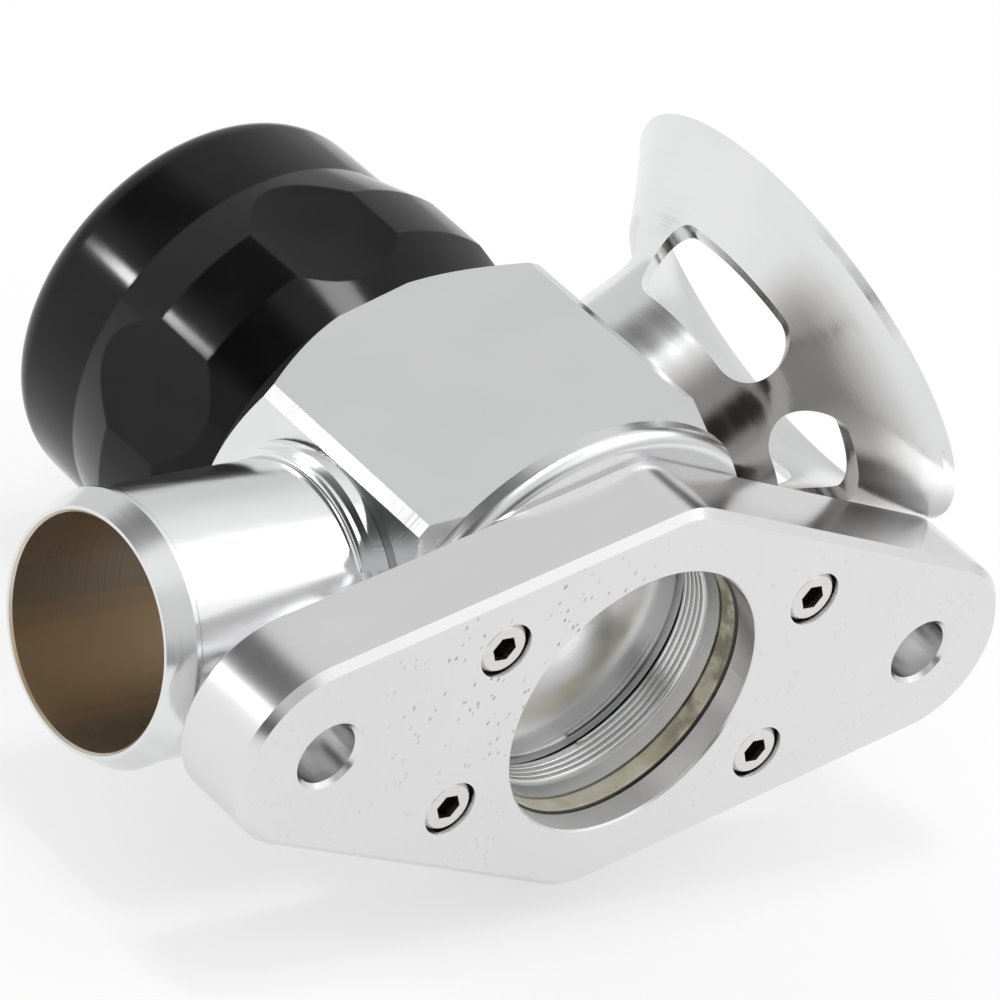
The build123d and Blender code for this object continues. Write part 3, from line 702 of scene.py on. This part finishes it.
def make_world():
    """White studio room with soft bright and dark patches, which show only in reflections."""
    world = bpy.data.worlds.new("studio")
    bpy.context.scene.world = world
    world.use_nodes = True
    tree = world.node_tree
    tree.nodes.clear()
    add, link = tree.nodes.new, tree.links.new
    direction = add("ShaderNodeTexCoord").outputs["Generated"]

    def blob(towards, inner, outer):
        """1 in the middle of a soft round patch of the room, 0 outside it."""
        dot = add("ShaderNodeVectorMath")
        dot.operation = "DOT_PRODUCT"
        dot.inputs[1].default_value = tuple(towards)
        link(direction, dot.inputs[0])
        ramp = add("ShaderNodeMapRange")
        ramp.interpolation_type = "SMOOTHSTEP"
        ramp.inputs[1].default_value = cos(radians(outer))
        ramp.inputs[2].default_value = cos(radians(inner))
        ramp.inputs[3].default_value = 0.0
        ramp.inputs[4].default_value = 1.0
        link(dot.outputs[1], ramp.inputs[0])
        return ramp.outputs[0]

    def blend(factor, a, b):
        node = add("ShaderNodeMix")
        node.data_type = "FLOAT"
        link(factor, node.inputs[0])
        for socket, value in ((node.inputs[2], a), (node.inputs[3], b)):
            if isinstance(value, float):
                socket.default_value = value
            else:
                link(value, socket)
        return node.outputs[0]

    room = ROOM_LEVEL
    for azimuth, elevation, inner, outer, level in ROOM_PATCHES:
        room = blend(blob(compass(azimuth, elevation), inner, outer), room, level)
    path = add("ShaderNodeLightPath")
    shown = blend(path.outputs["Is Glossy Ray"], MATT_ROOM_LEVEL, room)
    shown = blend(path.outputs["Is Camera Ray"], shown, 1.0)
    shown = blend(path.outputs["Is Transmission Ray"], shown, 1.0)
    background = add("ShaderNodeBackground")
    link(shown, background.inputs["Strength"])
    link(background.outputs[0], add("ShaderNodeOutputWorld").inputs[0])


def lamp(name, azimuth, elevation, size, power):
    """A square soft lamp that looks at the object from a direction."""
    data = bpy.data.lights.new(name, "AREA")
    data.shape = "SQUARE"
    data.size = size
    data.energy = power
    light = bpy.data.objects.new(name, data)
    bpy.context.scene.collection.objects.link(light)
    away = compass(azimuth, elevation)
    light.location = AIM + away * LAMP_DISTANCE
    light.rotation_euler = away.to_track_quat("Z", "Y").to_euler()


def make_camera():
    """The photograph's view: azimuth from +Y towards +X, elevation above the horizon, and roll."""
    azimuth, elevation, roll = radians(VIEW_AZIMUTH), radians(VIEW_ELEVATION), radians(VIEW_ROLL)
    forward = Vector((sin(azimuth) * cos(elevation), cos(azimuth) * cos(elevation), -sin(elevation)))
    level = Vector((cos(azimuth), -sin(azimuth), 0))
    upright = level.cross(forward)
    right = level * cos(roll) + upright * sin(roll)
    up = upright * cos(roll) - level * sin(roll)
    data = bpy.data.cameras.new("camera")
    data.lens = LENS
    data.sensor_width = SENSOR
    data.clip_end = 10.0
    camera = bpy.data.objects.new("camera", data)
    bpy.context.scene.collection.objects.link(camera)
    turn = Matrix((right, up, -forward)).transposed()
    camera.matrix_world = Matrix.Translation(AIM - forward * DISTANCE) @ turn.to_4x4()
    bpy.context.scene.camera = camera


# Dress the nodes
dress(flange_finish(), "flange_plate")
dress(body_finish(), "valve_body")
dress(hose_finish(), "hose_outlet")
trumpet_metal = clear_turned(
    "trumpet_finish", TRUMPET_AXIS, anisotropy=0.5, low=0.13, high=0.2, marks=0.000003, painted_reflection=True,
)
dress(trumpet_metal, "trumpet")
cap_skin = cap_finish()
dress(cap_skin, "cap")
fluted_cap(cap_skin)
dress(steel_finish(), "flange_screws")
dress(piston_finish(), "piston", "spring_seat")
dress(
    rubber_finish(), "hose_outlet_o_ring", "trumpet_o_ring", "piston_nose_seal", "piston_o_rings",
    "cap_o_ring", "nipple_seal",
)
dress(seal_finish(), "flange_seal")
dress(wear_band_finish(), "piston_wear_band")
dress(brass_finish(), "vacuum_nipple")
spring_metal = spring_finish()
dress(spring_metal, "spring_washer")
coil_spring(spring_metal)
thread_metal = clear_turned(
    "thread_finish", PISTON_AXIS, anisotropy=0.3, low=0.16, high=0.26, marks=0.000002,
)
thread("throat_thread", THROAT_R, -THROAT_DEPTH, THROAT_THREAD, THROAT_PITCH, thread_metal)
thread("neck_thread", NECK_R, NECK_DEPTH, NECK_THREAD, NECK_PITCH, thread_metal)

make_floor()
make_world()
for settings in LAMPS:
    lamp(*settings)
make_camera()
bpy.context.scene.view_settings.view_transform = "Standard"
